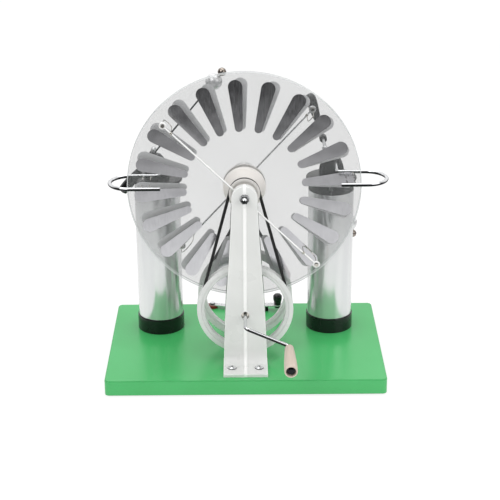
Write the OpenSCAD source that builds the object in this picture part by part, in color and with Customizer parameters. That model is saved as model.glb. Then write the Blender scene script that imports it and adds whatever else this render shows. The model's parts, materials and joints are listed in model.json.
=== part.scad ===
// Influence machine on a moulded base: two glass-clear discs with foil sectors turn opposite ways,
// driven by one hand crank through an open belt and a crossed belt, between two storage jars.
// The floor is z = 0 under the middle of the base, the crank side is -Y and +X is to the right.

/* [Base] */
// Width of the base
base_w = 290; // [280:1:310]
// Depth of the base
base_d = 195; // [190:1:205]
// Height of the moulded base above its feet
base_h = 16; // [12:0.5:20]
// Height of the rubber feet
foot_h = 1.5; // [1:0.5:3]
// Radius of the base's corners
base_corner = 5; // [3:0.5:9]

/* [Discs] */
// Radius of the two discs
disc_r = 120; // [112:1:122]
// Thickness of a disc
disc_t = 2; // [1.5:0.5:2.5]
// Gap between the two discs
disc_gap = 3; // [2.5:0.5:4]
// Height of the spindle above the base
spindle_up = 183.5; // [182:0.5:190]
// Distance of the discs' middle plane in front of the base's centre
disc_front = 20; // [18:0.5:22]
// Number of foil sectors on each disc
sector_n = 20; // [16:1:22]
// Radius at a sector's inner end
sector_in = 59; // [56:1:66]
// Radius at a sector's outer end
sector_out = 113; // [105:1:113]

/* [Drive] */
// Height of the crank shaft above the base
crank_up = 56; // [54:0.5:58]
// Pitch radius of a drive wheel
wheel_pitch = 46.8; // [45:0.2:48]
// Pitch radius of a disc's pulley
pulley_pitch = 14.4; // [14:0.2:16]
// Diameter of the round belts
belt_d = 3.2; // [2.4:0.2:3.4]
// Distance of each belt from the discs' middle plane
belt_out = 20.5; // [20:0.5:21]
// Length of the crank arm
arm_r = 48.5; // [42:0.5:49]
// Angle of the crank arm below the horizontal
arm_down = 24.2; // [10:0.2:60]
// Length of the turning grip
grip_l = 54; // [45:1:60]

/* [Jars] */
// Distance of each jar from the middle
jar_x = 93; // [91:1:98]
// Distance of the jars behind the base's centre
jar_y = 40; // [38:1:44]
// Radius of a jar's tube
jar_r = 24.2; // [22:0.2:24.6]
// Height of the jars' caps above the base
jar_up = 173.5; // [170:0.5:178]

/* [Discharge rods] */
// Rise of the left rod above the horizontal
left_rise = 50.2; // [49:0.1:52]
// Rise of the right rod's handle above the horizontal
right_rise = 72.8; // [70:0.1:76]
// Diameter of the large ball on a discharge rod
large_ball_d = 17.2; // [14:0.2:17.4]
// Diameter of the small ball at its end
ball_d = 8.8; // [7:0.2:10]

/* [Hidden] */
$fn = 64;

eps = 0.01;
run = 0.05;                                  // radial clearance of every turning or sliding fit
top_z = foot_h + base_h;
spindle_z = top_z + spindle_up;
crank_z = top_z + crank_up;
axle_gap = spindle_z - crank_z;

// Spindle line, measured outwards from the discs' middle plane
spindle_r = 2;
disc_face = disc_gap / 2 + disc_t;
foil_t = 0.3;
hub_r = 22;
hub_spigot = 6.9;
hub_nose = 26.2;
pulley_w = 8;
pulley_r = pulley_pitch + 1.4;
rod_out = 30;                                // plane of a neutralising rod
collar_l = 6.8;
collar_r = 6;
upright_back = 32;
upright_face = 40;
nut_l = 9;

// Uprights
foot_front = 70;
flange_t = 3.5;
flange_half = 22.8;
web_t = 4.5;
wall_t = 2.6;
head_r = 13;
fillet_r = 12;
side_curve = [[22.6, 0], [21.6, 57.5], [16.6, 97.5], [head_r, spindle_up - 11]];
boss_r = 8;
bush_r = 4.2;
screw_x = 14;
screw_out = 55;

// Drive
shaft_r = 1.9;
wheel_r = wheel_pitch + 3.4;
wheel_in = wheel_pitch - 4.8;
wheel_boss = 26;
groove_r = belt_d / 2 + 0.45;
elbow_r = 4;
arm_out = 72;
rear_end = 46;
grip_start = arm_out + elbow_r + 0.6;
grip_end = grip_start + grip_l;
cross_shift = belt_d / 2 + 0.35;             // each strand of the crossed belt gives way by this

// Neutralising rods
wire_r = 0.9;
wire_off = 3.1;                              // the rod passes this far below the spindle's line
eye_r = 2.8;
brush_tip = disc_face + foil_t + 0.5;
fine_r = 0.4;
front_lean = 135.9;                          // direction of the upper arm, anticlockwise from +X
rear_lean = 47.4;
upper_arm = [106, 98];                       // front, rear
lower_arm = [102, 99];
bow_r = [[5.6, 9.3], [4.2, 9.3]];            // upper and lower brush, front and rear

// Jars and terminals
ring_h = 16.7;
ring_r = 25.4;
cap_r = 27;
cap_h = 12;
cap_z = top_z + jar_up;
head_curve = [[13.4, 6], [12.6, 15.5], [8.6, 22.5], [4, 26.2]];
contact_r = 2;
fork_r = 1.9;
fork_z = [205.5, 208.5];                     // left, right
fork_x = [-88.5, 96.3];
fork_tip = [-85.1, 98];
fork_half = 21;
fork_run = 28.3;
point_at = [8, 16];
point_r = 0.6;

// Discharge rods
pivot_z = 222;
left_pivot = [-95.5, 21.5, pivot_z];
right_pivot = [85.8, 76.5, pivot_z];
pin_r = 1.5;
post_r = 2.2;
post_low = 10;                               // the posts go down into the heads to this height
clamp_r = 4;
clamp_l = 9.5;
rod_r = 1;
ball_reach = [114.9, 116];                   // pivot to small ball, left and right
ball_step = (large_ball_d + ball_d) / 2 + 0.2;
rod_total = 167.6;
handle_l = 44;

// Jar switch
pivot_at = [-2, 78.5];
blade_l = 39;
blade_w = 9;
blade_t = 1.2;
blade_up = 6;
knob_r = 5;
washer_at = [-37, 88];

// A point on a cubic curve through its control points c at t
function curve(c, t) = pow(1 - t, 3) * c[0] + 3 * t * pow(1 - t, 2) * c[1]
    + 3 * t * t * (1 - t) * c[2] + pow(t, 3) * c[3];

// Draws its children for the crank side (side 1) or mirrored for the far side (side -1)
module at_discs(side) {
    translate([0, -disc_front, 0]) mirror([0, side > 0 ? 0 : 1, 0]) children();
}

// A frame on an axle: x to the right, y up and z outwards from the discs' middle plane
module on_axle(side, height) {
    at_discs(side) translate([0, 0, height]) rotate([90, 0, 0]) children();
}

// A frame on an axle that looks the same way on both sides, so that angles aren't mirrored
module on_middle(height) {
    translate([0, -disc_front, height]) rotate([90, 0, 0]) children();
}

// A round bar from p to q
module bar(p, q, r) {
    v = q - p;
    translate(p) rotate([0, acos(v.z / norm(v)), atan2(v.y, v.x)]) cylinder(h = norm(v), r = r);
}

// A tube between two heights
module tube(h, r, bore) {
    difference() {
        cylinder(h = h, r = r);
        translate([0, 0, -1]) cylinder(h = h + 2, r = bore);
    }
}

// A quarter bend of round bar that leaves +Z at the origin and turns towards +X
module elbow(bend, r) {
    translate([bend, 0, 0]) rotate([90, 0, 0]) rotate([0, 0, 90])
        rotate_extrude(angle = 90) translate([bend, 0]) circle(r = r);
}

// ---------------------------------------------------------------- base

module slab(w, d, h, corner) {
    linear_extrude(h) {
        square([w - 2 * corner, d], center = true);
        square([w, d - 2 * corner], center = true);
        for (x = [-1, 1], y = [-1, 1])
            translate([x * (w / 2 - corner), y * (d / 2 - corner)]) circle(r = corner);
    }
}

module base() {
    skin = 3;
    rib = 1.8;
    cols = 10;
    rows = 8;
    cell_w = (base_w - 2 * skin - (cols - 1) * rib) / cols;
    cell_d = (base_d - 2 * skin - (rows - 1) * rib) / rows;
    color("#57BE74") difference() {
        union() {
            translate([0, 0, foot_h]) slab(base_w, base_d, base_h - 0.8, base_corner);
            translate([0, 0, foot_h]) slab(base_w - 1.6, base_d - 1.6, base_h, base_corner - 0.8);
        }
        for (i = [0:cols - 1], j = [0:rows - 1])
            if (!is_boss_cell(i, j, cols, rows))
                translate([-base_w / 2 + skin + i * (cell_w + rib),
                    -base_d / 2 + skin + j * (cell_d + rib), foot_h - 1])
                    cube([cell_w, cell_d, base_h - skin + 1]);
        for (side = [1, -1]) at_discs(side) for (x = [-1, 1])
            translate([x * screw_x, -screw_out, top_z - 12]) cylinder(h = 13, r = 1.7);
    }
}

// Cells over a foot stay solid, so that the feet have something to sit on
function is_boss_cell(i, j, cols, rows) =
    (i == 0 || i == cols - 1) && (j == 0 || j == rows - 1)
    || (i == cols / 2 || i == cols / 2 - 1) && (j == 0 || j == 1 || j == rows / 2 || j == rows - 1
        || j == rows / 2 - 1);

module base_feet() {
    foot_r = 7;
    inset = 14;
    color("#3E8F57") for (x = [-1, 0, 1], y = [-1, 0, 1])
        if (x == 0 || y != 0)
            translate([x * (base_w / 2 - inset), y * (base_d / 2 - inset), 0]) {
                cylinder(h = foot_h / 2, r = foot_r - 0.5);
                translate([0, 0, foot_h / 2]) cylinder(h = foot_h / 2, r = foot_r);
            }
}

// ---------------------------------------------------------------- uprights

// Front view of an upright: a waisted blade with a round head, drawn inset by its wall
module blade_shape(inset) {
    steps = 10;
    edge = [for (i = [0:steps]) curve(side_curve, i / steps)];
    right = [for (p = edge) [p.x - inset, p.y]];
    left = [for (i = [steps:-1:0]) [inset - edge[i].x, edge[i].y]];
    polygon(concat(right, [[head_r - inset, spindle_up], [inset - head_r, spindle_up]], left));
    translate([0, spindle_up]) circle(r = head_r - inset);
}

// Side view of the curve from the blade's face into its foot, standing proud by some height
module foot_curve(proud) {
    r = fillet_r - proud;
    difference() {
        translate([upright_face - eps, flange_t - eps])
            square([fillet_r + eps, fillet_r + eps]);
        translate([upright_face + fillet_r, flange_t + fillet_r]) circle(r = r);
    }
}

// Turns a side view, drawn as distance outwards and height, into a slab of the given width
module side_slab(width) {
    rotate([90, 0, -90]) translate([0, 0, -width / 2]) linear_extrude(width) children();
}

module upright(side) {
    rib_w = 3;
    rib_h = 0.8;
    color("#E4E4E2") at_discs(side) translate([0, 0, top_z]) difference() {
        union() {
            rotate([90, 0, 0]) {
                translate([0, 0, upright_face - web_t]) linear_extrude(web_t) blade_shape(0);
                translate([0, 0, upright_back])
                    linear_extrude(upright_face - upright_back - web_t / 2) difference() {
                        blade_shape(0);
                        blade_shape(wall_t);
                    }
                translate([0, spindle_up, upright_back + 2]) cylinder(h = 4, r = boss_r - 1);
                translate([0, crank_up, wheel_boss + 1.2])
                    cylinder(h = upright_face - web_t - wheel_boss, r = boss_r);
                translate([-flange_half, 0, upright_back])
                    cube([2 * flange_half, flange_t, foot_front - upright_back]);
            }
            side_slab(2 * flange_half - 1) foot_curve(0);
            side_slab(rib_w) {
                foot_curve(rib_h);
                translate([upright_face - eps, flange_t + fillet_r])
                    square([rib_h + eps, crank_up - 16]);
                translate([upright_face - eps, crank_up + 9])
                    square([rib_h + eps, spindle_up - crank_up - 18]);
                translate([upright_face + fillet_r - eps, flange_t - eps])
                    square([screw_out - upright_face - fillet_r, rib_h + eps]);
            }
        }
        translate([0, 0, spindle_up]) rotate([90, 0, 0]) cylinder(h = 60, r = spindle_r + eps);
        translate([0, 0, crank_up]) rotate([90, 0, 0]) cylinder(h = 60, r = bush_r);
        for (x = [-1, 1]) translate([x * screw_x, -screw_out, -1]) {
            cylinder(h = 10, r = 2.1);
            translate([0, 0, flange_t - 0.2]) cylinder(h = 4, r = 5);
        }
    }
}

module upright_screws() {
    color("#C9CBCE") for (side = [1, -1], x = [-1, 1])
        at_discs(side) translate([x * screw_x, -screw_out, top_z]) difference() {
            union() {
                translate([0, 0, -10]) cylinder(h = 12, r = 1.7 - eps);
                translate([0, 0, flange_t - 0.2]) cylinder(h = 0.8, r = 4.6);
                translate([0, 0, flange_t + 0.6]) cylinder(h = 1.2, r1 = 3.6, r2 = 2.4);
            }
            for (turn = [0, 90]) rotate([0, 0, turn])
                translate([-1.8, -0.35, flange_t + 0.9]) cube([3.6, 0.7, 2]);
        }
}

// ---------------------------------------------------------------- spindle and discs

module spindle() {
    color("#B9BCC0") on_axle(1, spindle_z)
        translate([0, 0, -upright_face - nut_l + 2.5])
            cylinder(h = 2 * (upright_face + nut_l - 2.5), r = spindle_r);
}

module acorn_nut(bore) {
    dome = 3.2;
    difference() {
        union() {
            cylinder(h = 3.6, r = 4.4, $fn = 6);
            translate([0, 0, 3.6]) cylinder(h = nut_l - 3.6 - dome - 1, r = dome);
            translate([0, 0, nut_l - dome - 1]) sphere(r = dome);
        }
        translate([0, 0, -1]) cylinder(h = nut_l - 2.5, r = bore);
    }
}

module spindle_nuts() {
    color("#C9CBCE") for (side = [1, -1])
        on_axle(side, spindle_z) translate([0, 0, upright_face + 1]) acorn_nut(spindle_r + eps);
}

module spindle_washers() {
    color("#D5D6D8") for (side = [1, -1])
        on_axle(side, spindle_z) translate([0, 0, upright_face]) tube(1, 5, spindle_r + eps);
}

module disc_spacer() {
    color("#F2F0EA") on_axle(1, spindle_z) translate([0, 0, -0.9]) tube(1.8, 4.5, spindle_r + run);
}

module disc_plate(side) {
    color("#DDDDDD", 0.6) on_axle(side, spindle_z) translate([0, 0, disc_gap / 2])
        tube(disc_t, disc_r, hub_spigot + 0.1);
}

// One foil sector: two round ends joined by their common tangents
module sector_shape() {
    outer = 7.2;
    inner = 4;
    low = sector_in + inner;
    high = sector_out - outer;
    lean = asin((outer - inner) / (high - low));
    translate([0, high]) circle(r = outer);
    translate([0, low]) circle(r = inner);
    polygon([[-inner * cos(lean), low - inner * sin(lean)], [inner * cos(lean), low - inner * sin(lean)],
        [outer * cos(lean), high - outer * sin(lean)], [-outer * cos(lean), high - outer * sin(lean)]]);
}

// The sectors of the disc on one side; turn is the first sector's angle from the vertical
module sectors(side, turn) {
    low = side > 0 ? disc_face : -disc_face - foil_t;
    color("#6F6F73") on_middle(spindle_z) for (i = [0:sector_n - 1])
        rotate([0, 0, turn + i * 360 / sector_n])
            translate([0, 0, low]) linear_extrude(foil_t) sector_shape();
}

// Cuts a belt groove into a profile drawn as radius and distance outwards
module groove(pitch) {
    translate([pitch, belt_out]) circle(r = groove_r, $fn = 32);
    polygon([[pitch, belt_out - groove_r], [pitch, belt_out + groove_r],
        [pitch + 4, belt_out + groove_r + 1.2], [pitch + 4, belt_out - groove_r - 1.2]]);
}

module hub(side) {
    near = belt_out - pulley_w / 2;
    far = belt_out + pulley_w / 2;
    color("#F1ECE4") on_axle(side, spindle_z) rotate_extrude() difference() {
        polygon([[spindle_r + run, 1.2], [hub_spigot, 1.2], [hub_spigot, disc_face],
            [hub_r, disc_face], [hub_r, disc_face + 1.6], [hub_r - 1.5, disc_face + 3],
            [pulley_r + 0.8, near - 1.5], [pulley_r, near], [pulley_r, far], [13, far],
            [12.5, far - 1.5], [8, far - 1.5], [7.5, far], [6.5, far], [6.5, hub_nose],
            [spindle_r + run, hub_nose]]);
        groove(pulley_pitch);
    }
}

// ---------------------------------------------------------------- belts

// How far a strand of the crossed belt stands aside at t along it; the strands meet at t_cross
function aside(t, t_cross) = cross_shift * (t < t_cross
    ? pow(sin(90 * t / t_cross), 2) : pow(cos(90 * (t - t_cross) / (1 - t_cross)), 2));

// Route of a belt in the frame of the spindle: over the pulley, down, under the wheel and back up.
// way is 1 for the crossed belt and -1 for the open one
function belt_route(way) =
    let (
        lean = asin((wheel_pitch + way * pulley_pitch) / axle_gap),
        t_cross = pulley_pitch / (pulley_pitch + wheel_pitch),
        a = pulley_pitch * [cos(lean), -way * sin(lean)],
        b = wheel_pitch * [-way * cos(lean), sin(lean)] - [0, axle_gap],
        start = way > 0 ? 180 - lean : lean,
        steps = way > 0 ? [0.07, 0.13, 0.19, 0.25, 0.32, 0.42, 0.55, 0.7, 0.85] : []
    ) concat(
        [for (i = [0:15]) let (w = 180 + way * lean - (180 + 2 * way * lean) * i / 15)
            pulley_pitch * [cos(w), sin(w), 0]],
        [for (t = steps) [a.x + (b.x - a.x) * t, a.y + (b.y - a.y) * t, aside(t, t_cross)]],
        [for (i = [0:30]) let (w = start + way * (180 + 2 * lean) * i / 30)
            wheel_pitch * [cos(w), sin(w), 0] - [0, axle_gap, 0]],
        [for (i = [len(steps) - 1:-1:0]) let (t = steps[i])
            [-a.x - (b.x - a.x) * t, a.y + (b.y - a.y) * t, -aside(t, t_cross)]]);

// A closed round cord along a ring of points
module closed_cord(points, r, sides) {
    n = len(points);
    rings = [for (i = [0:n - 1]) let (
            ahead = points[(i + 1) % n] - points[(i + n - 1) % n],
            t = ahead / norm(ahead),
            flat = cross([0, 0, 1], t),
            u = flat / norm(flat),
            w = cross(t, u)
        ) for (k = [0:sides - 1]) points[i] + r * (cos(360 * k / sides) * u + sin(360 * k / sides) * w)];
    faces = [for (i = [0:n - 1], k = [0:sides - 1]) let (
            p = i * sides + k,
            q = i * sides + (k + 1) % sides,
            p2 = (p + sides) % (n * sides),
            q2 = (q + sides) % (n * sides)
        ) each [[p, q, q2], [p, q2, p2]]];
    polyhedron(rings, faces);
}

module belt(side) {
    color("#1B1B1D") on_axle(side, spindle_z) translate([0, 0, belt_out])
        closed_cord(belt_route(-side), belt_d / 2, 8);
}

// ---------------------------------------------------------------- crank and wheels

// Drive wheel: a grooved rim with a stepped inner edge, carried by two tapered arms
module wheel(side) {
    near = belt_out - pulley_w / 2;
    far = belt_out + pulley_w / 2;
    color("#F0EEF0") on_axle(side, crank_z) difference() {
        union() {
            rotate_extrude() difference() {
                polygon([[wheel_in, near + 1], [wheel_in + 1, near], [wheel_r, near], [wheel_r, far],
                    [wheel_in + 1, far], [wheel_in, far - 1]]);
                groove(wheel_pitch);
                for (a = [near - 1, far - 0.8])
                    translate([wheel_in + 1.3, a]) square([2.4, 1.8]);
            }
            translate([0, 0, 15]) cylinder(h = wheel_boss - 15, r = 7);
            translate([0, 0, near + 1.5]) linear_extrude(pulley_w - 3) for (turn = [0, 180])
                rotate([0, 0, turn])
                    polygon([[-5, 0], [5, 0], [3.5, wheel_in + 0.8], [-3.5, wheel_in + 0.8]]);
        }
        translate([0, 0, 10]) cylinder(h = 20, r = shaft_r + eps);
        translate([0, 0, near - 0.2]) rotate([90, 0, 0]) cylinder(h = 12, r = 1.25);
        for (turn = [0, 180]) rotate([0, 0, turn])
            linear_extrude(40) polygon([[-1.6, 12], [1.6, 12], [1.1, 34], [-1.1, 34]]);
    }
}

module wheel_screws() {
    color("#8E9196") for (side = [1, -1]) on_axle(side, crank_z)
        translate([0, -shaft_r - 0.1, belt_out - pulley_w / 2 - 0.2]) rotate([90, 0, 0]) difference() {
            cylinder(h = 4.6, r = 1.2);
            translate([0, 0, 3.4]) cylinder(h = 2, r = 0.7, $fn = 6);
        }
}

module crank_bushes() {
    color("#C8A65A") for (side = [1, -1]) on_axle(side, crank_z)
        translate([0, 0, wheel_boss + 0.6])
            tube(upright_face - wheel_boss - 3.2, bush_r - eps, shaft_r + run);
}

// One bent bar: the shaft, the arm and the pin that the grip turns on
module crank_rod() {
    pin_end = grip_end - 3.5;
    color("#C9CBCE") on_middle(crank_z) rotate([0, 0, -arm_down]) {
        translate([0, 0, -rear_end]) cylinder(h = rear_end + arm_out - elbow_r, r = shaft_r);
        translate([0, 0, arm_out - elbow_r]) elbow(elbow_r, shaft_r);
        translate([elbow_r, 0, arm_out]) rotate([0, 90, 0])
            cylinder(h = arm_r - 2 * elbow_r, r = shaft_r);
        translate([arm_r, 0, arm_out + elbow_r]) rotate([180, 0, 0]) rotate([0, 0, 180])
            elbow(elbow_r, shaft_r);
        translate([arm_r, 0, arm_out + elbow_r]) cylinder(h = pin_end - arm_out - elbow_r, r = shaft_r);
        translate([0, 0, -rear_end]) tube(3, 4.2, shaft_r - 0.5);
    }
}

module crank_grip() {
    color("#DCCDBE") on_middle(crank_z) rotate([0, 0, -arm_down]) translate([arm_r, 0, 0])
        rotate_extrude() polygon(concat(
            [[shaft_r + run, grip_start], [3.6, grip_start]],
            [for (i = [0:8]) let (t = i / 8)
                [4.5 + 2.8 * pow(t, 0.85) - 0.7 * pow(t, 6), grip_start + 1 + (grip_l - 2) * t]],
            [[6.1, grip_end], [5.1, grip_end], [4.9, grip_end - 5], [shaft_r + run, grip_end - 5]]));
}

module grip_nut() {
    color("#C9CBCE") on_middle(crank_z) rotate([0, 0, -arm_down]) translate([arm_r, 0, grip_end - 4.6]) {
        tube(0.8, 4.3, shaft_r);
        translate([0, 0, 0.8]) difference() {
            union() {
                cylinder(h = 2, r = 3.4, $fn = 6);
                translate([0, 0, 2]) cylinder(h = 1.2, r = 2.6);
            }
            translate([0, 0, -1]) cylinder(h = 1.3 + 1.2, r = shaft_r);
        }
    }
}

// ---------------------------------------------------------------- neutralising rods

// The straight frame of a rod: +X along its upper arm, z outwards from the discs
module on_rod(side, lean) {
    on_middle(spindle_z) rotate([0, 0, lean]) mirror([0, 0, side > 0 ? 0 : 1])
        translate([0, lean > 90 ? wire_off : -wire_off, 0]) children();
}

// A straight rod with an eye at each end
module neutraliser(side, lean) {
    i = side > 0 ? 0 : 1;
    color("#B9BCC0") on_rod(side, lean) translate([0, 0, rod_out]) {
        translate([-lower_arm[i], 0, 0]) rotate([0, 90, 0])
            cylinder(h = upper_arm[i] + lower_arm[i], r = wire_r);
        for (x = [upper_arm[i] + eye_r, -lower_arm[i] - eye_r]) translate([x, 0, 0])
            rotate_extrude() translate([eye_r, 0]) circle(r = wire_r + 0.1);
    }
}

module collar(side, lean) {
    color("#2A2A2C") difference() {
        on_axle(side, spindle_z) translate([0, 0, rod_out - collar_l / 2])
            tube(collar_l, collar_r, spindle_r + run);
        on_rod(side, lean) translate([-20, 0, rod_out]) rotate([0, 90, 0])
            cylinder(h = 40, r = wire_r + eps);
    }
}

// A fine wire bows from a ferrule in each eye towards the sectors and back to a coil on the rod
module brushes(side, lean) {
    i = side > 0 ? 0 : 1;
    color("#C8A65A") on_rod(side, lean)
        for (end = [[upper_arm[i] + eye_r, 0], [-lower_arm[i] - eye_r, 1]]) let (bow = bow_r[i][end[1]])
            mirror([end[1], 0, 0]) translate([abs(end[0]), 0, brush_tip + fine_r + bow]) {
                leg = rod_out - brush_tip - fine_r - bow;
                translate([0, 0, leg - 2]) cylinder(h = 4, r = eye_r - wire_r - 0.3);
                cylinder(h = leg - 1, r = fine_r);
                translate([-bow, 0, 0]) rotate([-90, 0, 0])
                    rotate_extrude(angle = 180) translate([bow, 0]) circle(r = fine_r);
                translate([-2 * bow, 0, 0]) cylinder(h = leg - wire_r - 0.2, r = fine_r);
                translate([-2 * bow - 1.2, 0, leg]) rotate([0, 90, 0]) tube(2.4, 1.5, wire_r + eps);
            }
}

// ---------------------------------------------------------------- jars

module at_jar(side) {
    translate([side * jar_x, jar_y, 0]) children();
}

module jar_foot(side) {
    color("#1E1E20") at_jar(side) translate([0, 0, top_z]) rotate_extrude()
        polygon([[0, 0], [ring_r, 0], [ring_r, ring_h - 1], [ring_r - 0.4, ring_h],
            [jar_r + 0.05, ring_h], [jar_r + 0.05, 2.5], [0, 2.5]]);
}

module jar_tube(side) {
    color("#C7CBCD", 0.9) at_jar(side) translate([0, 0, top_z + 2.5])
        tube(jar_up - 5.5, jar_r, jar_r - 1.5);
}

module jar_foil(side) {
    low = top_z + ring_h + 0.2;
    color("#C4C8CA") at_jar(side) translate([0, 0, low])
        tube(cap_z - cap_h - 2 - low, jar_r + 0.2, jar_r);
}

module jar_linings() {
    color("#B4B8BA") for (side = [1, -1]) at_jar(side) translate([0, 0, top_z + 2.5])
        tube(140, jar_r - 1.5, jar_r - 1.7);
}

module jar_cap(side) {
    edge = 2;
    color("#1E1E20") at_jar(side) translate([0, 0, cap_z - cap_h]) rotate_extrude() difference() {
        union() {
            square([cap_r, cap_h - edge]);
            square([cap_r - edge, cap_h]);
            translate([cap_r - edge, cap_h - edge]) circle(r = edge);
        }
        translate([-1, -1]) square([jar_r + 1.25, cap_h - 3 + 1]);
        translate([-edge, -1]) square([edge + contact_r + eps, cap_h + 2]);
    }
}

// A jar's head: a domed block that holds the fork in front and the discharge rod's post on top
module terminal(side, pivot, i) {
    color("#1C1C1E") difference() {
        at_jar(side) translate([0, 0, cap_z]) rotate_extrude()
            polygon(concat([[0, 0], [head_curve[0].x, 0]], [for (k = [0:8]) curve(head_curve, k / 8)],
                [[0, head_curve[3].y]]));
        translate([pivot.x, jar_y, cap_z + post_low]) cylinder(h = 40, r = post_r + eps);
        translate([fork_x[i], jar_y - 30, fork_z[i]]) rotate([-90, 0, 0])
            cylinder(h = 28, r = fork_r + eps);
        at_jar(side) translate([0, 0, cap_z - 1]) cylinder(h = 8, r = contact_r + eps);
    }
}

// Inside each jar a rod hangs from the head and a short spring foot touches the lining
module contact_rods() {
    color("#B9BCC0") for (side = [1, -1]) at_jar(side) {
        translate([0, 0, top_z + 40]) cylinder(h = cap_z + 7 - top_z - 40, r = contact_r);
        translate([-(jar_r - 1.9), 0, top_z + 42]) rotate([0, 90, 0])
            cylinder(h = 2 * (jar_r - 1.9), r = 0.8);
    }
}

// ---------------------------------------------------------------- collector forks

// i is 0 on the left and 1 on the right; the fork lies flat and reaches round both discs
module fork(i) {
    out = i == 0 ? -1 : 1;
    bend = 4;
    color("#C9CBCE") translate([fork_x[i], -disc_front, fork_z[i]]) mirror([i == 0 ? 1 : 0, 0, 0])
    difference() {
        union() {
        translate([0, fork_half + bend, 0]) rotate([-90, 0, 0])
            cylinder(h = jar_y + disc_front - fork_half - bend - 2, r = fork_r);
        translate([0, fork_half + bend, 0]) rotate([90, 0, 0]) elbow(bend, fork_r);
        translate([bend, fork_half, 0]) rotate([0, 90, 0]) cylinder(h = fork_run - bend, r = fork_r);
        translate([fork_run, 0, 0]) rotate([0, 0, -90]) rotate_extrude(angle = 180)
            translate([fork_half, 0]) circle(r = fork_r);
        translate([out * (fork_tip[i] - fork_x[i]), -fork_half, 0]) rotate([0, 90, 0])
            cylinder(h = fork_run - out * (fork_tip[i] - fork_x[i]), r = fork_r);
        }
        for (at = point_at, prong = [0, 1]) mirror([0, prong, 0])
            translate([at, fork_half - fork_r + 0.4, 0]) rotate([90, 0, 0]) cylinder(h = 3, r = point_r);
    }
}

// Needles on both prongs of each fork point at the sectors from either side
module collector_points() {
    reach = fork_half - fork_r - disc_face - foil_t - 2.5;
    color("#C8A65A") for (i = [0, 1], side = [1, -1], at = point_at)
        translate([fork_x[i] + (i == 0 ? -at : at), -disc_front, fork_z[i]])
            mirror([0, side > 0 ? 0 : 1, 0]) rotate([-90, 0, 0])
                translate([0, 0, -fork_half + fork_r - 0.4]) {
                    cylinder(h = reach - 3, r = point_r);
                    translate([0, 0, reach - 3]) cylinder(h = 3, r1 = point_r, r2 = 0.15);
                }
}

// ---------------------------------------------------------------- discharge rods

// Side of the post that the clamp is on: the left one in front, the right one behind
module at_pivot(pivot, behind) {
    translate(pivot) mirror([0, behind ? 1 : 0, 0]) children();
}

// A ball-headed post stands in each head and carries a pin that reaches out to the clamp
module clamp_pins() {
    color("#B9BCC0") for (p = [[left_pivot, false], [right_pivot, true]]) {
        at_pivot(p[0], p[1]) translate([0, 2, 0]) rotate([-90, 0, 0])
            cylinder(h = abs(p[0].y - jar_y) - 2, r = pin_r);
        translate([p[0].x, jar_y, cap_z + post_low])
            cylinder(h = pivot_z - cap_z - post_low, r = post_r);
        translate([p[0].x, jar_y, pivot_z]) sphere(r = post_r + 0.8);
    }
}

module clamp(pivot, behind, rise) {
    color("#2A2A2C") at_pivot(pivot, behind) difference() {
        translate([0, -3.5, 0]) rotate([-90, 0, 0]) rotate_extrude()
            polygon([[0, 0], [clamp_r - 1, 0], [clamp_r, 1], [clamp_r, clamp_l - 1],
                [clamp_r - 1, clamp_l], [0, clamp_l]]);
        translate([0, 2 - run, 0]) rotate([-90, 0, 0]) cylinder(h = clamp_l, r = pin_r + run);
        rotate([0, 90 - rise, 0]) translate([0, 0, -10]) cylinder(h = 20, r = rod_r + run);
    }
}

// The rod's own frame: +Z from the pivot towards the ball
module along_rod(pivot, rise) {
    translate(pivot) rotate([0, 90 - rise, 0]) children();
}

module discharge_rod(pivot, rise, reach) {
    color("#B9BCC0") along_rod(pivot, rise)
        translate([0, 0, reach - rod_total + handle_l - 8])
            cylinder(h = rod_total - handle_l + 8 - ball_step, r = rod_r);
}

// A large ball with a small one at its end, turned from one piece
module discharge_ball(pivot, rise, reach) {
    color("#8F8A86") along_rod(pivot, rise) translate([0, 0, reach]) difference() {
        union() {
            sphere(d = ball_d);
            translate([0, 0, -ball_step]) {
                sphere(d = large_ball_d);
                cylinder(h = ball_step, r = 2);
            }
        }
        translate([0, 0, -2 * large_ball_d])
            cylinder(h = 2 * large_ball_d - ball_step + eps, r = rod_r + eps);
    }
}

// Turned handle: a drip flange near the rod, a waist and a long swell to a round end
module discharge_handle(pivot, rise, reach) {
    swell = [[2.6, 9], [4.4, 18], [6.6, 34], [4.9, handle_l - 1.4]];
    color("#1C1C1E") along_rod(pivot, rise) translate([0, 0, reach - rod_total + handle_l])
        mirror([0, 0, 1]) rotate_extrude() difference() {
            polygon(concat([[0, 0], [1.8, 0], [2.4, 5], [4.2, 6], [4.2, 7.6]],
                [for (i = [0:8]) curve(swell, i / 8)], [[3, handle_l - 0.3], [0, handle_l]]));
            translate([-1, -1]) square([1 + rod_r + eps, 9 + eps]);
        }
}

// ---------------------------------------------------------------- jar switch

module switch_insulator() {
    color("#7A1E1C") {
        translate([washer_at.x, washer_at.y, top_z]) cylinder(h = 3, r = 6);
        translate([pivot_at.x, pivot_at.y, top_z]) cylinder(h = 1.6, r = 5.5);
    }
}

// Pivot post and the stud that the blade closes on
module switch_contacts() {
    color("#C9CBCE") {
        translate([pivot_at.x, pivot_at.y, top_z + 1.6]) {
            cylinder(h = 4, r = 3.8);
            cylinder(h = 7.4, r = 1.6);
            translate([0, 0, 5.9]) cylinder(h = 1.5, r = 3);
        }
        translate([pivot_at.x + 25, pivot_at.y, top_z]) cylinder(h = blade_up - 0.4, r = 3.6);
        translate([washer_at.x, washer_at.y, top_z + 4.2]) cylinder(h = 1.6, r = 3);
        translate([washer_at.x, washer_at.y, top_z + 3]) cylinder(h = 1.4, r = 1.5);
    }
}

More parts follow.
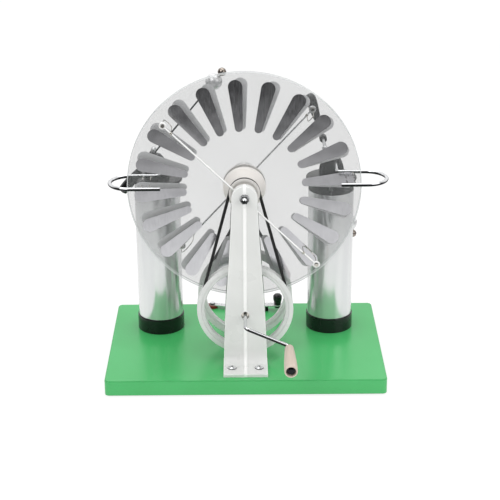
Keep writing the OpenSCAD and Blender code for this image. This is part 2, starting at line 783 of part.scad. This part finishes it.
// Flat strip from the pivot post back to the insulated end
module switch_strip() {
    strip_w = 7;
    v = pivot_at - washer_at;
    color("#C4C8CA") difference() {
        translate([washer_at.x, washer_at.y, top_z + 3]) rotate([0, 0, atan2(v.y, v.x)])
            linear_extrude(1.2) {
                translate([0, -strip_w / 2]) square([norm(v) - 7, strip_w]);
                circle(d = strip_w);
            }
        translate([washer_at.x, washer_at.y, top_z]) cylinder(h = 8, r = 1.5 + eps);
    }
}

module switch_blade() {
    color("#C4C8CA") translate([pivot_at.x, pivot_at.y, top_z + blade_up]) difference() {
        linear_extrude(blade_t) {
            circle(d = blade_w);
            translate([0, -blade_w / 2]) square([blade_l, blade_w]);
            translate([blade_l, 0]) circle(d = blade_w);
        }
        translate([0, 0, -1]) cylinder(h = 4, r = 1.6 + run);
        translate([blade_l, 0, -1]) cylinder(h = 4, r = 1.5);
    }
}

// Turned knob that grips the blade's end from both sides
module switch_knob() {
    color("#1C1C1E") translate([pivot_at.x + blade_l, pivot_at.y, top_z]) rotate_extrude()
        union() {
            polygon([[0, blade_up - 2.5], [3.4, blade_up - 2.5], [4, blade_up], [0, blade_up]]);
            translate([0, blade_up - eps]) square([1.5 - eps, blade_t + 2 * eps]);
            polygon([[0, blade_up + blade_t], [3.8, blade_up + blade_t], [4, 10], [knob_r, 14],
                [knob_r, 17.5], [knob_r - 1.5, 19.5], [0, 20]]);
        }
}

// ---------------------------------------------------------------- the machine

base();
base_feet();
upright(1);  // front_upright
upright(-1);  // rear_upright
upright_screws();
spindle();
spindle_nuts();
spindle_washers();
disc_spacer();
crank_bushes();
disc_plate(1);  // front_disc
disc_plate(-1);  // rear_disc
sectors(1, 4.6);  // front_sectors
sectors(-1, 1.8);  // rear_sectors
hub(1);  // front_hub
hub(-1);  // rear_hub
belt(1);  // front_belt
belt(-1);  // rear_belt
wheel(1);  // front_wheel
wheel(-1);  // rear_wheel
wheel_screws();
crank_rod();
crank_grip();
grip_nut();
collar(1, front_lean);  // front_collar
neutraliser(1, front_lean);  // front_neutraliser
brushes(1, front_lean);  // front_brushes
collar(-1, rear_lean);  // rear_collar
neutraliser(-1, rear_lean);  // rear_neutraliser
brushes(-1, rear_lean);  // rear_brushes
jar_foot(-1);  // left_jar_foot
jar_foot(1);  // right_jar_foot
jar_tube(-1);  // left_jar_tube
jar_tube(1);  // right_jar_tube
jar_foil(-1);  // left_jar_foil
jar_foil(1);  // right_jar_foil
jar_linings();
jar_cap(-1);  // left_jar_cap
jar_cap(1);  // right_jar_cap
terminal(-1, left_pivot, 0);  // left_terminal
terminal(1, right_pivot, 1);  // right_terminal
contact_rods();
fork(0);  // left_fork
fork(1);  // right_fork
collector_points();
clamp_pins();
clamp(left_pivot, false, left_rise);  // left_clamp
clamp(right_pivot, true, -right_rise);  // right_clamp
discharge_rod(left_pivot, left_rise, ball_reach[0]);  // left_discharge_rod
discharge_rod(right_pivot, -right_rise, ball_reach[1]);  // right_discharge_rod
discharge_ball(left_pivot, left_rise, ball_reach[0]);  // left_discharge_ball
discharge_ball(right_pivot, -right_rise, ball_reach[1]);  // right_discharge_ball
discharge_handle(left_pivot, left_rise, ball_reach[0]);  // left_discharge_handle
discharge_handle(right_pivot, -right_rise, ball_reach[1]);  // right_discharge_handle
switch_insulator();
switch_contacts();
switch_strip();
switch_blade();
switch_knob();
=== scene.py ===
"""Looks of a hand-cranked influence machine: finishes, cap plates, belts, studio light and camera."""

import json
import math

import bpy
from mathutils import Matrix, Vector


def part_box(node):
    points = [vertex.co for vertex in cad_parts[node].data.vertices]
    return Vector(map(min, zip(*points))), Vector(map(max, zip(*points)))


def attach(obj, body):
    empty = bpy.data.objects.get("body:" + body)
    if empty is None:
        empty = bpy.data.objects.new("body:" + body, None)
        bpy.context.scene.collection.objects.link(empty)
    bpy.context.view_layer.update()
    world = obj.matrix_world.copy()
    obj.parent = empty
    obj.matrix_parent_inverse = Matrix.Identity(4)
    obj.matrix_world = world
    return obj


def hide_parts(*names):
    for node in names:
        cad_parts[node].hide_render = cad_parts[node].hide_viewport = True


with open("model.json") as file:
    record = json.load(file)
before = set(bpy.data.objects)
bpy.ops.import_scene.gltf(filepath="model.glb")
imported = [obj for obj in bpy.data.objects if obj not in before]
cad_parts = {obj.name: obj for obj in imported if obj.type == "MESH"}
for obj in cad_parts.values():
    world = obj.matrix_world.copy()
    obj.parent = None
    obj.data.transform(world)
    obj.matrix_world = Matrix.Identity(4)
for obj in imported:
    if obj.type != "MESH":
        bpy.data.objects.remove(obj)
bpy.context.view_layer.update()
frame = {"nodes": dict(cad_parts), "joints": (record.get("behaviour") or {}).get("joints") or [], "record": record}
nodes = frame["nodes"]
scene = bpy.context.scene
MM = 0.001


# ---------------------------------------------------------------- camera and light

CAMERA_AT = (-0.0028, -1.3772, 0.6701)
CAMERA_PITCH = math.radians(21.86)
CAMERA_ROLL = math.radians(0.448)
CAMERA_LENS = 100.8
CAMERA_SHIFT = (0.0158, 0.0086)


def make_camera():
    data = bpy.data.cameras.new("camera")
    data.lens = CAMERA_LENS
    data.sensor_width = 36
    data.shift_x, data.shift_y = CAMERA_SHIFT
    data.clip_start = 0.05
    camera = bpy.data.objects.new("camera", data)
    tilt = Matrix.Rotation(math.pi / 2 - CAMERA_PITCH, 4, "X")
    roll = Matrix.Rotation(-CAMERA_ROLL, 4, "Z")
    camera.matrix_world = Matrix.Translation(CAMERA_AT) @ tilt @ roll
    scene.collection.objects.link(camera)
    scene.camera = camera


def make_lamp(name, place, target, size, power):
    data = bpy.data.lights.new(name, "AREA")
    data.shape = "RECTANGLE"
    data.size, data.size_y = size
    data.energy = power
    lamp = bpy.data.objects.new(name, data)
    away = (Vector(target) - Vector(place)).to_track_quat("-Z", "Y")
    lamp.matrix_world = Matrix.Translation(place) @ away.to_matrix().to_4x4()
    scene.collection.objects.link(lamp)


def math_node(tree, operation, first, second):
    """Output of a Math node on two inputs, each a number or another node's output."""
    made = tree.nodes.new("ShaderNodeMath")
    made.operation = operation
    for value, into in zip((first, second), made.inputs):
        if isinstance(value, (int, float)):
            into.default_value = value
        else:
            tree.links.new(value, into)
    return made.outputs[0]


def light_path(tree, *kinds):
    """1 for the named kinds of ray, and 0 for all others."""
    path = tree.nodes.new("ShaderNodeLightPath")
    total = path.outputs[f"Is {kinds[0]} Ray"]
    for kind in kinds[1:]:
        total = math_node(tree, "MAXIMUM", total, path.outputs[f"Is {kind} Ray"])
    return total


def set_inputs(made, **values):
    """Sets a node's sockets by name, with _ for a space."""
    for key, value in values.items():
        made.inputs[key.replace("_", " ")].default_value = value


def ramp_node(tree, value, start, end, low, high):
    """A smooth step from low at start to high at end."""
    made = tree.nodes.new("ShaderNodeMapRange")
    made.interpolation_type = "SMOOTHSTEP"
    set_inputs(made, From_Min=start, From_Max=end, To_Min=low, To_Max=high)
    tree.links.new(value, made.inputs["Value"])
    return made.outputs["Result"]


def make_world(ambient=0.62, room=0.05, backdrop=1.0):
    """White to the camera. Mirrors see white overhead, a pale backdrop behind and a dim room in front."""
    world = bpy.data.worlds.new("studio")
    scene.world = world
    world.use_nodes = True
    tree = world.node_tree
    background = tree.nodes["Background"]
    background.inputs["Color"].default_value = (1, 1, 1, 1)
    split = tree.nodes.new("ShaderNodeSeparateXYZ")
    place = tree.nodes.new("ShaderNodeTexCoord").outputs["Generated"]
    tree.links.new(place, split.inputs["Vector"])
    walls = ramp_node(tree, split.outputs["Y"], -0.3, 0.5, room, backdrop)
    overhead = ramp_node(tree, split.outputs["Z"], 0.6, 0.9, 0.0, 1.0)
    mirrored = math_node(tree, "MULTIPLY", light_path(tree, "Glossy"),
                         math_node(tree, "MAXIMUM", walls, overhead))
    seen = math_node(tree, "MAXIMUM", light_path(tree, "Camera", "Transmission"), mirrored)
    diffuse = math_node(tree, "MULTIPLY", light_path(tree, "Diffuse"), ambient)
    tree.links.new(math_node(tree, "MAXIMUM", seen, diffuse), background.inputs["Strength"])


FLOOR_HALF = 6.0
GLOW_NEAR, GLOW_FAR = 0.6, 3.0      # where the floor's own white rises to the backdrop's


def make_floor(white=0.8, glow=0.8, far_glow=0.88, shadow=0.25, near=0.25, far=1.15, dim=0.03):
    """A white floor that keeps a soft shadow. Mirrors see it fade with distance, as a lit table in a
    dim room does."""
    half = FLOOR_HALF
    mesh = bpy.data.meshes.new("floor")
    corners = [(-half, -half, 0), (half, -half, 0), (half, half, 0), (-half, half, 0)]
    mesh.from_pydata(corners, [], [(0, 1, 2, 3)])
    floor = bpy.data.objects.new("floor", mesh)
    scene.collection.objects.link(floor)
    material = bpy.data.materials.new("floor")
    material.use_nodes = True
    tree = material.node_tree
    shader = tree.nodes["Principled BSDF"]
    set_inputs(shader, Roughness=0.9, Specular_IOR_Level=0.0, Emission_Color=(1, 1, 1, 1))
    reach = tree.nodes.new("ShaderNodeVectorMath")
    reach.operation = "LENGTH"
    tree.links.new(tree.nodes.new("ShaderNodeTexCoord").outputs["Object"], reach.inputs[0])
    lost = math_node(tree, "MULTIPLY", light_path(tree, "Glossy"),
                     ramp_node(tree, reach.outputs["Value"], near, far, 0.0, 1 - dim))
    kept = math_node(tree, "SUBTRACT", 1.0, lost)
    seen = light_path(tree, "Camera", "Glossy", "Transmission")
    albedo = math_node(tree, "SUBTRACT", white, math_node(tree, "MULTIPLY", seen, white - shadow))
    colour = math_node(tree, "MULTIPLY", kept, albedo)
    shade = tree.nodes.new("ShaderNodeCombineColor")
    for channel in shade.inputs:
        tree.links.new(colour, channel)
    tree.links.new(shade.outputs["Color"], shader.inputs["Base Color"])
    level = ramp_node(tree, reach.outputs["Value"], GLOW_NEAR, GLOW_FAR, glow, far_glow)
    strength = math_node(tree, "MULTIPLY", math_node(tree, "MULTIPLY", seen, kept), level)
    tree.links.new(strength, shader.inputs["Emission Strength"])
    mesh.materials.append(material)


# ---------------------------------------------------------------- materials

def linear(code):
    """Linear colour of an sRGB hex code."""
    shares = [int(code[i:i + 2], 16) / 255 for i in (1, 3, 5)]
    return [s / 12.92 if s <= 0.04045 else ((s + 0.055) / 1.055) ** 2.4 for s in shares] + [1.0]


BEVEL_SAMPLES = 6


class Finish:
    """A procedural surface: a Principled shader fed by noise in object space."""

    def __init__(self, name, metallic=0.0, **constants):
        self.material = bpy.data.materials.new(name)
        self.material.use_nodes = True
        self.tree = self.material.node_tree
        self.shader = self.tree.nodes["Principled BSDF"]
        set_inputs(self.shader, Metallic=metallic, **constants)
        self.place = self.node("ShaderNodeTexCoord").outputs["Object"]

    def node(self, kind, **settings):
        made = self.tree.nodes.new(kind)
        for key, value in settings.items():
            setattr(made, key, value)
        return made

    def link(self, out, into):
        self.tree.links.new(out, into)

    def math(self, operation, first, second=0.0):
        return math_node(self.tree, operation, first, second)

    def along(self, vector, axis):
        """One coordinate of a vector."""
        split = self.node("ShaderNodeSeparateXYZ")
        self.link(vector, split.inputs["Vector"])
        return split.outputs[axis]

    def noise(self, size, detail=3.0, stretch=(1, 1, 1), rough=0.5):
        """Noise whose features are about size millimetres, longer along the axes with a high stretch."""
        mapping = self.node("ShaderNodeMapping")
        mapping.inputs["Scale"].default_value = [1 / (size * MM * s) for s in stretch]
        self.link(self.place, mapping.inputs["Vector"])
        made = self.node("ShaderNodeTexNoise")
        set_inputs(made, Scale=1.0, Detail=detail, Roughness=rough)
        self.link(mapping.outputs["Vector"], made.inputs["Vector"])
        return made.outputs["Fac"]

    def remap(self, value, low, high, start=0.35, end=0.65):
        """A straight ramp from low at start to high at end. Noise lies mostly within the given ends."""
        made = self.node("ShaderNodeMapRange")
        set_inputs(made, From_Min=start, From_Max=end, To_Min=low, To_Max=high)
        self.link(value, made.inputs["Value"])
        return made.outputs["Result"]

    def mix(self, mask, low, high):
        """Mixes two colours, each a plain one or another node's output."""
        made = self.node("ShaderNodeMix", data_type="RGBA")
        self.link(mask, made.inputs["Factor"])
        for value, into in ((low, made.inputs["A"]), (high, made.inputs["B"])):
            if isinstance(value, list):
                into.default_value = value
            else:
                self.link(value, into)
        return made.outputs["Result"]

    def tones(self, noise, dark, light):
        """A colour that drifts between two hex codes."""
        return self.mix(self.remap(noise, 0, 1), linear(dark), linear(light))

    def colour(self, value):
        self.link(value, self.shader.inputs["Base Color"])

    def roughness(self, mask, low, high):
        self.link(self.remap(mask, low, high), self.shader.inputs["Roughness"])

    def rounded(self, size):
        """The normal, turned as if edges were rounded by size millimetres."""
        made = self.node("ShaderNodeBevel", samples=BEVEL_SAMPLES)
        made.inputs["Radius"].default_value = size * MM
        return made.outputs["Normal"]

    def edges(self, size):
        """1 within about size millimetres of a sharp edge, and 0 on flat faces."""
        align = self.node("ShaderNodeVectorMath", operation="DOT_PRODUCT")
        self.link(self.rounded(size), align.inputs[0])
        self.link(self.node("ShaderNodeNewGeometry").outputs["Normal"], align.inputs[1])
        return self.remap(align.outputs["Value"], 1, 0, 0.93, 0.995)

    def bump(self, height, depth, edge=0):
        """Bumps of depth millimetres, and edges that catch light as if rounded by edge millimetres."""
        made = self.node("ShaderNodeBump")
        made.inputs["Distance"].default_value = depth * MM
        self.link(height, made.inputs["Height"])
        if edge:
            self.link(self.rounded(edge), made.inputs["Normal"])
        self.link(made.outputs["Normal"], self.shader.inputs["Normal"])


def milky(weight, reach):
    """Constants of a plastic that lets light in, all colours alike, about reach millimetres deep."""
    return {"Subsurface_Weight": weight, "Subsurface_Scale": reach * MM, "Subsurface_Radius": (1, 1, 1)}


def plastic(name, dark, light, low=0.28, high=0.42, grain=1.2, depth=0.01, edge=0.5, **constants):
    """Moulded plastic: faint cloudy colour, uneven gloss, a fine moulded grain and softened edges."""
    made = Finish(name, **constants)
    made.colour(made.tones(made.noise(60, 2), dark, light))
    made.roughness(made.noise(22, 3), low, high)
    made.bump(made.noise(grain, 2), depth, edge=edge)
    return made.material


RIB_HALF = 1.2 * MM      # the uprights' middle rib, and where its painted highlight has faded
RIB_FADE = 1.9 * MM


def upright_plastic():
    """Milky moulded plastic that lets light through, with a painted highlight: its colour is painted near white at
    its edges and middle rib.
    """
    made = Finish("upright_plastic", **milky(0.35, 4))
    painted_rib_highlight = made.remap(made.math("ABSOLUTE", made.along(made.place, "X")), 1, 0, RIB_HALF, RIB_FADE)
    bright = made.math("MAXIMUM", painted_rib_highlight, made.edges(1.2))
    body = made.tones(made.noise(60, 2), "#DDDEDC", "#E3E4E2")
    # painted highlight: the edges and the middle rib are painted near white
    made.colour(made.mix(bright, body, linear("#FCFCFA")))
    made.roughness(made.noise(22, 3), 0.26, 0.36)
    made.bump(made.noise(1.2, 2), 0.008)
    return made.material


def plated(name, metallic, low, high):
    """The start of a metal, with polishing marks in its gloss and surface, and the noise they follow."""
    made = Finish(name, metallic=metallic)
    marks = made.noise(2, 4, rough=0.6)
    made.roughness(marks, low, high)
    made.bump(marks, 0.003)
    return made, marks


def metal(name, dark, light, low, high, metallic=1.0):
    """Metal with faint marks. A dull film makes it less metallic."""
    made, marks = plated(name, metallic, low, high)
    made.colour(made.tones(marks, dark, light))
    return made.material


def chrome(name="chrome", lit="#E4E5E7", shaded="#2A2B2D", start=0.1, end=0.5,
           metallic=1.0, low=0.03, high=0.08):
    """Polished plating with a painted reflection of a dark room: its colour is painted darker on surfaces that
    look down than on those that look up.
    """
    made, _ = plated(name, metallic, low, high)
    normal = made.node("ShaderNodeNewGeometry").outputs["Normal"]
    painted_reflection_mask = made.remap(made.along(normal, "Z"), 0, 1, start, end)
    # painted reflection: the colour goes from the shaded tone to the lit tone as the surface turns to face up
    made.colour(made.mix(painted_reflection_mask, linear(shaded), linear(lit)))
    return made.material


def sector_foil():
    """Bare foil outside, and the paler glued side that shows through the disc, told apart by plane."""
    made = Finish("sector_foil")
    middle = sum(corner.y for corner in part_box("disc_spacer")) / 2
    planes = [abs(corner.y - middle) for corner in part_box("front_sectors")]
    apart = made.math("ABSOLUTE", made.math("ADD", made.along(made.place, "Y"), -middle))
    glued_end = min(planes) * 0.8 + max(planes) * 0.2
    outside = made.remap(apart, 0, 1, glued_end, sum(planes) / 2)
    made.link(outside, made.shader.inputs["Metallic"])
    cloud = made.noise(12, 4)
    glued = made.tones(cloud, "#E6E6E8", "#EDEDEF")
    bare = made.tones(cloud, "#C6C6C9", "#CBCBCE")
    made.colour(made.mix(outside, glued, bare))
    made.roughness(made.noise(1.5, 4, (1, 1, 6)), 0.16, 0.24)
    made.bump(made.noise(42, 2), 0.5)
    return made.material


SMALL_BALL = 8.9 * MM      # from the tip of a discharge rod to where its large ball starts


def ball_finish():
    """Discharge balls: the small one is smoked chrome and the large one satin, told apart along the rod."""
    made = Finish("discharge_balls")
    small = None
    for side in ("left", "right"):
        axis = next(joint["axis"] for joint in frame["joints"] if joint["name"] == f"{side}_rod_slide")
        points = nodes[f"{side}_discharge_ball"].data.vertices
        reach = max(Vector(point.co).dot(Vector(axis)) for point in points)
        along = made.node("ShaderNodeVectorMath", operation="DOT_PRODUCT")
        along.inputs[1].default_value = axis
        made.link(made.place, along.inputs[0])
        past = made.math("GREATER_THAN", along.outputs["Value"], reach - SMALL_BALL)
        small = past if small is None else made.math("MAXIMUM", small, past)
    marks = made.noise(3, 3)
    smoked = made.tones(marks, "#8A817A", "#9C938B")
    bright = made.tones(marks, "#DCDDDE", "#E8E8E9")
    made.colour(made.mix(small, bright, smoked))
    made.link(made.remap(small, 0.55, 1, 0, 1), made.shader.inputs["Metallic"])
    made.link(made.remap(small, 0.3, 0.06, 0, 1), made.shader.inputs["Roughness"])
    return made.material


SHEET_ALPHA = 0.11      # how much one face of a clear sheet shows, seen straight on
SHEET_GLOSS = 0.3       # and how much more at a grazing angle
SHEET_PASS = 0.75       # how much less it shows to light on its way to other surfaces
# the discs' rim band, which gets a painted highlight: a paler colour that shows more than the sheet
RIM_WIDTH = 0.8 * MM
RIM_FADE = 0.3 * MM
RIM_HIGHLIGHT_SHOW = 0.55


def acrylic(name, rim=None):
    """Clear sheet: each face passes most light and shines more towards its edges. A rim is a sawn,
    polished edge, given as the axle's height and the radius where it starts, and its band has a painted
    highlight: a paler colour that shows more than the sheet."""
    made = Finish(name)
    sheet = made.tones(made.noise(55, 3), "#7C7E7E", "#8C8E8E")
    edge = made.node("ShaderNodeFresnel")
    edge.inputs["IOR"].default_value = 1.45
    shine = made.remap(edge.outputs["Fac"], SHEET_ALPHA, SHEET_ALPHA + SHEET_GLOSS, 0.04, 0.6)
    if rim:
        height, radius = rim
        flat = made.node("ShaderNodeVectorMath", operation="MULTIPLY_ADD")
        flat.inputs[1].default_value = (1, 0, 1)
        flat.inputs[2].default_value = (0, 0, -height)
        made.link(made.place, flat.inputs[0])
        reach = made.node("ShaderNodeVectorMath", operation="LENGTH")
        made.link(flat.outputs["Vector"], reach.inputs[0])
        painted_rim_highlight = made.remap(reach.outputs["Value"], 0, 1, radius, radius + RIM_FADE)
        # painted highlight: the rim band is painted pale and shows more than the sheet
        sheet = made.mix(painted_rim_highlight, sheet, linear("#D4D7D7"))
        shine = made.math("MAXIMUM", shine, made.math("MULTIPLY", painted_rim_highlight, RIM_HIGHLIGHT_SHOW))
    made.colour(sheet)
    made.roughness(made.noise(4, 5), 0.04, 0.12)
    passing = light_path(made.tree, "Shadow", "Diffuse")
    open_share = made.math("SUBTRACT", 1.0, made.math("MULTIPLY", passing, SHEET_PASS))
    made.link(made.math("MULTIPLY", shine, open_share), made.shader.inputs["Alpha"])
    return made.material


def disc_acrylic():
    low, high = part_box("front_disc")
    rim = ((low.z + high.z) / 2, (high.z - low.z) / 2 - RIM_WIDTH)
    return acrylic("disc_acrylic", rim=rim)


def jar_foil():
    """Bright foil wrapped round a tube: long soft ripples up the tube and a fine crinkle."""
    made = Finish("jar_foil", metallic=0.66)
    made.colour(made.tones(made.noise(9, 3, (1, 1, 14)), "#DCDDDE", "#E4E5E5"))
    made.roughness(made.noise(30, 2), 0.14, 0.2)
    made.bump(made.noise(26, 2, (1, 1, 5)), 0.1)
    return made.material


MATERIALS = {
    "green_plastic": lambda: plastic(
        "green_plastic", "#47B566", "#4BB96B", 0.22, 0.26, depth=0.004, edge=0.8),
    "pale_plastic": upright_plastic,
    "white_plastic": lambda: plastic(
        "white_plastic", "#E6E7E6", "#EEEEED", 0.24, 0.36, edge=0.8, **milky(0.4, 10)),
    "cream_plastic": lambda: plastic(
        "cream_plastic", "#DAD6D1", "#E2DEDA", 0.28, 0.4, edge=0.6, **milky(0.4, 8)),
    "beige_plastic": lambda: plastic("beige_plastic", "#C8B7A8", "#D1C1B3", 0.34, 0.48),
    "black_plastic": lambda: plastic("black_plastic", "#101012", "#19191B", 0.16, 0.3, edge=0.4),
    "red_plastic": lambda: plastic("red_plastic", "#6E1A16", "#842420", 0.4, 0.6, edge=0.3),
    "chrome": chrome,
    "steel": lambda: metal("steel", "#CFD0D1", "#DEDFE0", 0.2, 0.32, metallic=0.6),
    "dark_metal": ball_finish,
    "brass": lambda: metal("plated_brass", "#B9B6AE", "#CFCCC4", 0.14, 0.26),
    "belt_rubber": lambda: plastic(
        "belt_rubber", "#0F0F10", "#1A1A1C", 0.5, 0.7, grain=0.6, depth=0.04, edge=0),
    "clear_acrylic": lambda: acrylic("tube_acrylic"),
    "dark_foil": sector_foil,
    "silver_foil": jar_foil,
}


def dress_nodes():
    """Every CAD node gets the finish of its material slot in the record, apart from a few of their own."""
    made = {slot: build() for slot, build in MATERIALS.items()}
    sheet = disc_acrylic()
    # the front neutraliser's rod gets a painted reflection that is light over most of its surface
    painted_reflection_rod = chrome("painted_reflection_rod", "#F6F6F5", "#77787A", -0.75, -0.2, 0.25, 0.1, 0.2)
    own = {"front_disc": sheet, "rear_disc": sheet, "front_neutraliser": painted_reflection_rod}
    for part in frame["record"]["subparts"]:
        mesh = nodes[part["node"]].data
        mesh.materials.clear()
        mesh.materials.append(own.get(part["node"], made[part["material_slot"]]))
    return made


FOIL_GAP = 0.02 * MM


def inset_foils():
    """The glued foils stand a hair off their discs, so that each shows its own face through the sheet."""
    for name in ("front_sectors", "rear_sectors"):
        shrink = nodes[name].modifiers.new("inset", "DISPLACE")
        shrink.mid_level = 0
        shrink.strength = -FOIL_GAP


# ---------------------------------------------------------------- jar caps

CAP_THICK = 3 * MM
CAP_EDGE = 1 * MM           # radius of the plate's rounded edges
EDGE_STEPS = 4
TERMINAL_BORE = 2.05 * MM   # radius of the hole for the contact rod


def revolve(name, profile, centre, turns=96):
    """A closed ring turned from (radius, height) points round the vertical through centre."""
    count = len(profile)
    verts, faces = [], []
    for i in range(turns):
        angle = 2 * math.pi * i / turns
        x, y = math.cos(angle), math.sin(angle)
        verts += [(centre[0] + radius * x, centre[1] + radius * y, height) for radius, height in profile]
        ahead = (i + 1) % turns
        for k in range(count):
            after = (k + 1) % count
            faces.append((i * count + k, ahead * count + k, ahead * count + after, i * count + after))
    mesh = bpy.data.meshes.new(name)
    mesh.from_pydata(verts, [], faces)
    mesh.shade_smooth()
    mesh.set_sharp_from_angle(angle=math.radians(40))
    made = bpy.data.objects.new(name, mesh)
    scene.collection.objects.link(made)
    return made


def make_caps(finish):
    """The caps as flat plates on the tubes, as they show through the discs."""
    for side in ("left", "right"):
        low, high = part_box(f"{side}_jar_cap")
        centre = ((low.x + high.x) / 2, (low.y + high.y) / 2)
        outer, top = (high.x - low.x) / 2, high.z
        bends = [step * math.pi / 2 / EDGE_STEPS for step in range(EDGE_STEPS + 1)]
        rim = [(outer - CAP_EDGE * (1 - math.sin(bend)), top - CAP_EDGE * (1 - math.cos(bend)))
               for bend in bends]
        under = [(radius, 2 * top - CAP_THICK - height) for radius, height in reversed(rim)]
        bore = [(TERMINAL_BORE, top - CAP_THICK), (TERMINAL_BORE, top)]
        cap = revolve(f"{side}_cap_plate", bore + rim + under, centre)
        cap.data.materials.append(finish)
        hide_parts(f"{side}_jar_cap")
        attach(cap, "base")


# ---------------------------------------------------------------- belts

BELT_R = 1.6 * MM
PULLEY_PITCH = 14.4 * MM
WHEEL_PITCH = 46.8 * MM
CROSS_SHIFT = BELT_R + 0.35 * MM      # each strand of the crossed belt gives way by this
BELT_OUT = 20.5 * MM                  # from the discs' middle plane
MIDDLE_Y = -20 * MM
SPINDLE_Z = 201 * MM
CRANK_Z = 73.5 * MM
STRAND_STEPS = 48
PULLEY_STEPS = 40
WHEEL_STEPS = 72


def belt_route(crossed):
    """Closed route as (x, height above the spindle, shift outwards): pulley, down, wheel and back up."""
    way = 1 if crossed else -1
    gap = SPINDLE_Z - CRANK_Z
    lean = math.asin((WHEEL_PITCH + way * PULLEY_PITCH) / gap)
    t_cross = PULLEY_PITCH / (PULLEY_PITCH + WHEEL_PITCH)
    a = (PULLEY_PITCH * math.cos(lean), -way * PULLEY_PITCH * math.sin(lean))
    b = (-way * WHEEL_PITCH * math.cos(lean), WHEEL_PITCH * math.sin(lean) - gap)

    def aside(t):
        if not crossed:
            return 0.0
        turn = t / t_cross if t < t_cross else 1 - (t - t_cross) / (1 - t_cross)
        return CROSS_SHIFT * math.sin(math.pi / 2 * turn) ** 2

    def strand(side, steps):
        return [(side * (a[0] + (b[0] - a[0]) * t), a[1] + (b[1] - a[1]) * t, side * aside(t))
                for t in steps]

    def arc(radius, drop, start, sweep, count):
        turns = [start + sweep * i / count for i in range(count + 1)]
        return [(radius * math.cos(w), radius * math.sin(w) - drop, 0.0) for w in turns]

    steps = [i / STRAND_STEPS for i in range(1, STRAND_STEPS)]
    start = math.pi - lean if crossed else lean
    over = arc(PULLEY_PITCH, 0, math.pi + way * lean, -(math.pi + 2 * way * lean), PULLEY_STEPS)
    under = arc(WHEEL_PITCH, gap, start, way * (math.pi + 2 * lean), WHEEL_STEPS)
    return over + strand(1, steps) + under + strand(-1, reversed(steps))


def tube_mesh(name, points, radius, sides=14):
    """A closed round cord along a ring of points."""
    count = len(points)
    verts, faces = [], []
    for i, point in enumerate(points):
        ahead = (points[(i + 1) % count] - points[i - 1]).normalized()
        flat = Vector((0, 1, 0)).cross(ahead).normalized()
        up = ahead.cross(flat)
        for k in range(sides):
            turn = 2 * math.pi * k / sides
            verts.append(point + radius * (math.cos(turn) * flat + math.sin(turn) * up))
            after, next_ring = (k + 1) % sides, (i + 1) % count
            faces.append((i * sides + k, i * sides + after,
                          next_ring * sides + after, next_ring * sides + k))
    mesh = bpy.data.meshes.new(name)
    mesh.from_pydata(verts, [], faces)
    mesh.shade_smooth()
    return mesh


def make_belt(name, node, out, crossed, finish):
    """The round belt on its real route, in place of the CAD node's faceted one. Out is 1 in front of the
    discs and -1 behind them."""
    points = [Vector((x, MIDDLE_Y - out * (BELT_OUT + shift), SPINDLE_Z + up))
              for x, up, shift in belt_route(crossed)]
    belt = bpy.data.objects.new(name, tube_mesh(name, points, BELT_R))
    scene.collection.objects.link(belt)
    belt.data.materials.append(finish)
    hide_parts(node)
    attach(belt, "base")


# ---------------------------------------------------------------- the scene

scene.view_settings.view_transform = "Standard"
make_camera()
make_world()
make_floor()
make_lamp("key", place=(-0.9, -1.1, 1.5), target=(0, 0, 0.15), size=(1.2, 1.2), power=12)
make_lamp("fill", place=(1.2, -0.9, 0.9), target=(0, 0, 0.15), size=(1.2, 1.0), power=7)
make_lamp("top", place=(0.1, 0.3, 1.6), target=(0, 0, 0.1), size=(1.6, 1.0), power=10)
finishes = dress_nodes()
inset_foils()
make_caps(finishes["black_plastic"])
make_belt("open_belt", "front_belt", 1, False, finishes["belt_rubber"])
make_belt("crossed_belt", "rear_belt", -1, True, finishes["belt_rubber"])
